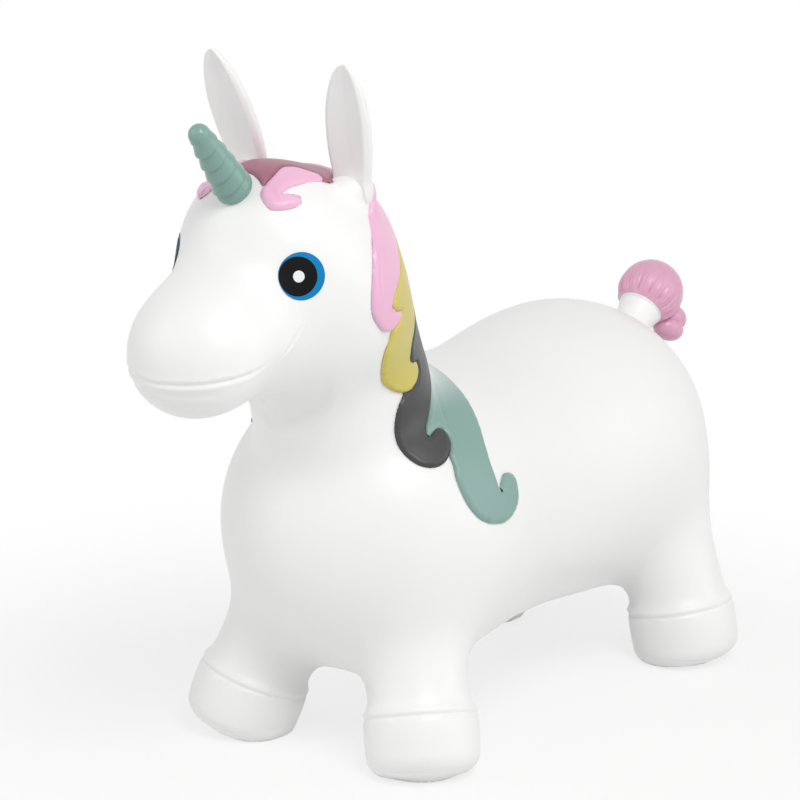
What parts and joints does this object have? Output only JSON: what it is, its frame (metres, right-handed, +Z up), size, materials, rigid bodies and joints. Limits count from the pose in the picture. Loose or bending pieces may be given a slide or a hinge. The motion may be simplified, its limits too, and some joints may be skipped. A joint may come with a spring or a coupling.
{
  "type": "bouncy ride on animal",
  "caption": "Inflatable bouncy ride-on unicorn with a rounded body, short legs, grip ears, spiral horn, striped relief mane, tufted tail and an air valve in the belly",
  "frame": {"origin": "centre of the bounding box, on the floor under the soles", "axes": "+Y towards the tail, -Y towards the nose, +X towards the animal's left side, +Z up"},
  "size_m": [0.2652, 0.6228, 0.491],
  "materials": {
    "pvc_white": "soft PVC, white, satin gloss as moulded",
    "pvc_pink": "soft PVC, sprayed light pink",
    "pvc_rose": "soft PVC, sprayed rose pink",
    "pvc_mauve": "soft PVC, sprayed dark mauve",
    "pvc_yellow": "soft PVC, sprayed mustard yellow",
    "pvc_charcoal": "soft PVC, sprayed charcoal",
    "pvc_sage": "soft PVC, sprayed sage green",
    "print_blue": "printed lacquer, blue",
    "print_black": "printed lacquer, black",
    "print_white": "printed lacquer, white",
    "valve_white": "translucent white valve plastic"
  },
  "bodies": {
    "trunk": {"eye_glint_left": "print_white", "eye_glint_right": "print_white", "eye_iris_left": "print_blue", "eye_iris_right": "print_blue", "eye_pupil_left": "print_black", "eye_pupil_right": "print_black", "forelock_left": "pvc_pink", "forelock_right": "pvc_pink", "head_skin": "pvc_white", "leg_skin_front_left": "pvc_white", "leg_skin_front_right": "pvc_white", "leg_skin_hind_left": "pvc_white", "leg_skin_hind_right": "pvc_white", "mane_charcoal_left": "pvc_charcoal", "mane_charcoal_right": "pvc_charcoal", "mane_pink_left": "pvc_pink", "mane_pink_right": "pvc_pink", "mane_sage_left": "pvc_sage", "mane_sage_right": "pvc_sage", "mane_yellow_left": "pvc_yellow", "mane_yellow_right": "pvc_yellow", "neck_skin": "pvc_white", "poll_crest": "pvc_mauve", "trunk_skin": "pvc_white", "valve_seat": "valve_white"},
    "hoof_front_left": {"hoof_front_left": "pvc_white"},
    "hoof_front_right": {"hoof_front_right": "pvc_white"},
    "hoof_hind_left": {"hoof_hind_left": "pvc_white"},
    "hoof_hind_right": {"hoof_hind_right": "pvc_white"},
    "ear_left": {"ear_left": "pvc_white"},
    "ear_right": {"ear_right": "pvc_white"},
    "horn": {"horn": "pvc_sage"},
    "tail": {"tail_stalk": "pvc_white", "tail_tuft": "pvc_rose"},
    "valve_plug": {"valve_plug": "valve_white"}
  },
  "joints": [
    {"name": "bounce_front_left", "type": "slide", "parent": "trunk", "child": "hoof_front_left", "axis": [0, 0, 1], "range_m": [0, 0.012], "stiffness_N_per_m": 5000, "deforming": ["leg_skin_front_left"]},
    {"name": "bounce_front_right", "type": "slide", "parent": "trunk", "child": "hoof_front_right", "axis": [0, 0, 1], "range_m": [0, 0.012], "stiffness_N_per_m": 5000, "deforming": ["leg_skin_front_right"]},
    {"name": "bounce_hind_left", "type": "slide", "parent": "trunk", "child": "hoof_hind_left", "axis": [0, 0, 1], "range_m": [0, 0.012], "stiffness_N_per_m": 5000, "deforming": ["leg_skin_hind_left"]},
    {"name": "bounce_hind_right", "type": "slide", "parent": "trunk", "child": "hoof_hind_right", "axis": [0, 0, 1], "range_m": [0, 0.012], "stiffness_N_per_m": 5000, "deforming": ["leg_skin_hind_right"]},
    {"name": "ear_bend_left", "type": "hinge", "parent": "trunk", "child": "ear_left", "pos_m": [0.0417, -0.16, 0.411], "axis": [1, 0, 0], "range_deg": [-20, 20], "stiffness_Nm_per_rad": 0.6},
    {"name": "ear_bend_right", "type": "hinge", "parent": "trunk", "child": "ear_right", "pos_m": [-0.0417, -0.16, 0.411], "axis": [1, 0, 0], "range_deg": [-20, 20], "stiffness_Nm_per_rad": 0.6},
    {"name": "horn_bend", "type": "hinge", "parent": "trunk", "child": "horn", "pos_m": [0, -0.22489, 0.40585], "axis": [1, 0, 0], "range_deg": [-8, 8], "stiffness_Nm_per_rad": 1},
    {"name": "tail_bend", "type": "hinge", "parent": "trunk", "child": "tail", "pos_m": [0, 0.2395, 0.2235], "axis": [1, 0, 0], "range_deg": [-12, 12], "stiffness_Nm_per_rad": 2},
    {"name": "valve_pull", "type": "slide", "parent": "trunk", "child": "valve_plug", "axis": [0, 0, -1], "range_m": [0, 0.015]}
  ]
}
